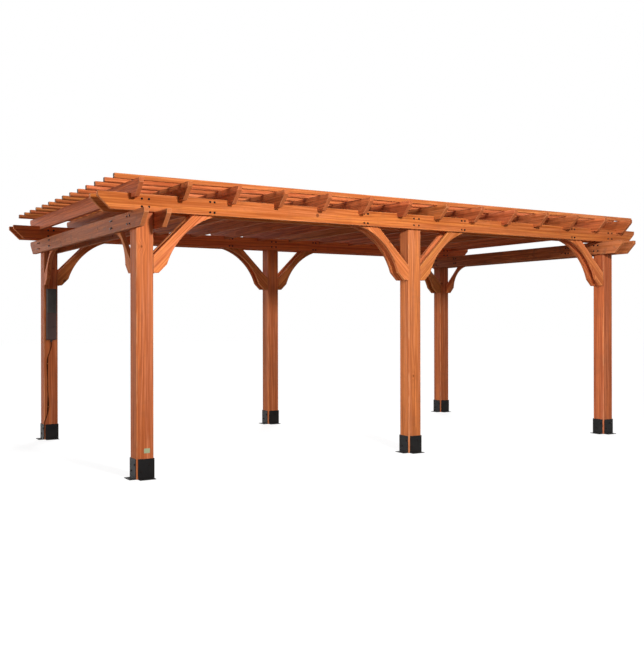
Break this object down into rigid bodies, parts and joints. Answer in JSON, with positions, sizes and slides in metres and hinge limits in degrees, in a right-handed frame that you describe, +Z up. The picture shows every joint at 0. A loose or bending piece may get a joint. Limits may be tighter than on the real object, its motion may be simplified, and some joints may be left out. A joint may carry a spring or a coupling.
{
  "type": "wooden pergola",
  "caption": "Freestanding open timber pergola: square posts in steel shoes, paired headers and side beams, arched knee braces, notched rafters and roof slats.",
  "frame": {"origin": "on the ground, midway between the six posts", "axes": "+X to the right along the front, +Y to the rear, +Z up"},
  "size_m": [6.096, 3.516, 2.374],
  "materials": {
    "post_timber": "cedar with an orange-brown penetrating stain, satin",
    "shoe_steel": "black powder-coated steel",
    "header_timber": "cedar with an orange-brown penetrating stain, satin",
    "beam_timber": "cedar with an orange-brown penetrating stain, satin",
    "brace_timber": "cedar with an orange-brown penetrating stain, satin",
    "rafter_timber": "cedar with an orange-brown penetrating stain, satin",
    "slat_timber": "cedar with an orange-brown penetrating stain, satin",
    "box_plastic": "dark grey plastic",
    "rib_metal": "black coated metal ribs",
    "gland_plastic": "dark grey plastic",
    "cable_rubber": "black rubber sheath",
    "clip_plastic": "dark grey plastic"
  },
  "bodies": {
    "root": {"front_left_post": "post_timber", "front_middle_post": "post_timber", "front_right_post": "post_timber", "rear_left_post": "post_timber", "rear_middle_post": "post_timber", "rear_right_post": "post_timber", "front_left_shoe": "shoe_steel", "front_middle_shoe": "shoe_steel", "front_right_shoe": "shoe_steel", "rear_left_shoe": "shoe_steel", "rear_middle_shoe": "shoe_steel", "rear_right_shoe": "shoe_steel", "front_header_outer_board": "header_timber", "front_header_inner_board": "header_timber", "rear_header_inner_board": "header_timber", "rear_header_outer_board": "header_timber", "left_beam_outer_board": "beam_timber", "left_beam_inner_board": "beam_timber", "right_beam_inner_board": "beam_timber", "right_beam_outer_board": "beam_timber", "front_left_header_brace": "brace_timber", "front_left_side_brace": "brace_timber", "front_middle_left_brace": "brace_timber", "front_middle_right_brace": "brace_timber", "front_right_header_brace": "brace_timber", "front_right_side_brace": "brace_timber", "rear_left_header_brace": "brace_timber", "rear_left_side_brace": "brace_timber", "rear_middle_left_brace": "brace_timber", "rear_middle_right_brace": "brace_timber", "rear_right_header_brace": "brace_timber", "rear_right_side_brace": "brace_timber", "left_end_rafter": "rafter_timber", "left_bay_rafters": "rafter_timber", "right_bay_rafters": "rafter_timber", "right_end_rafter": "rafter_timber", "front_roof_slats": "slat_timber", "rear_roof_slats": "slat_timber", "power_box_body": "box_plastic", "power_box_ribs": "rib_metal", "power_box_covers": "box_plastic", "cable_gland": "gland_plastic", "supply_cable": "cable_rubber", "cable_clips": "clip_plastic"}
  },
  "joints": []
}
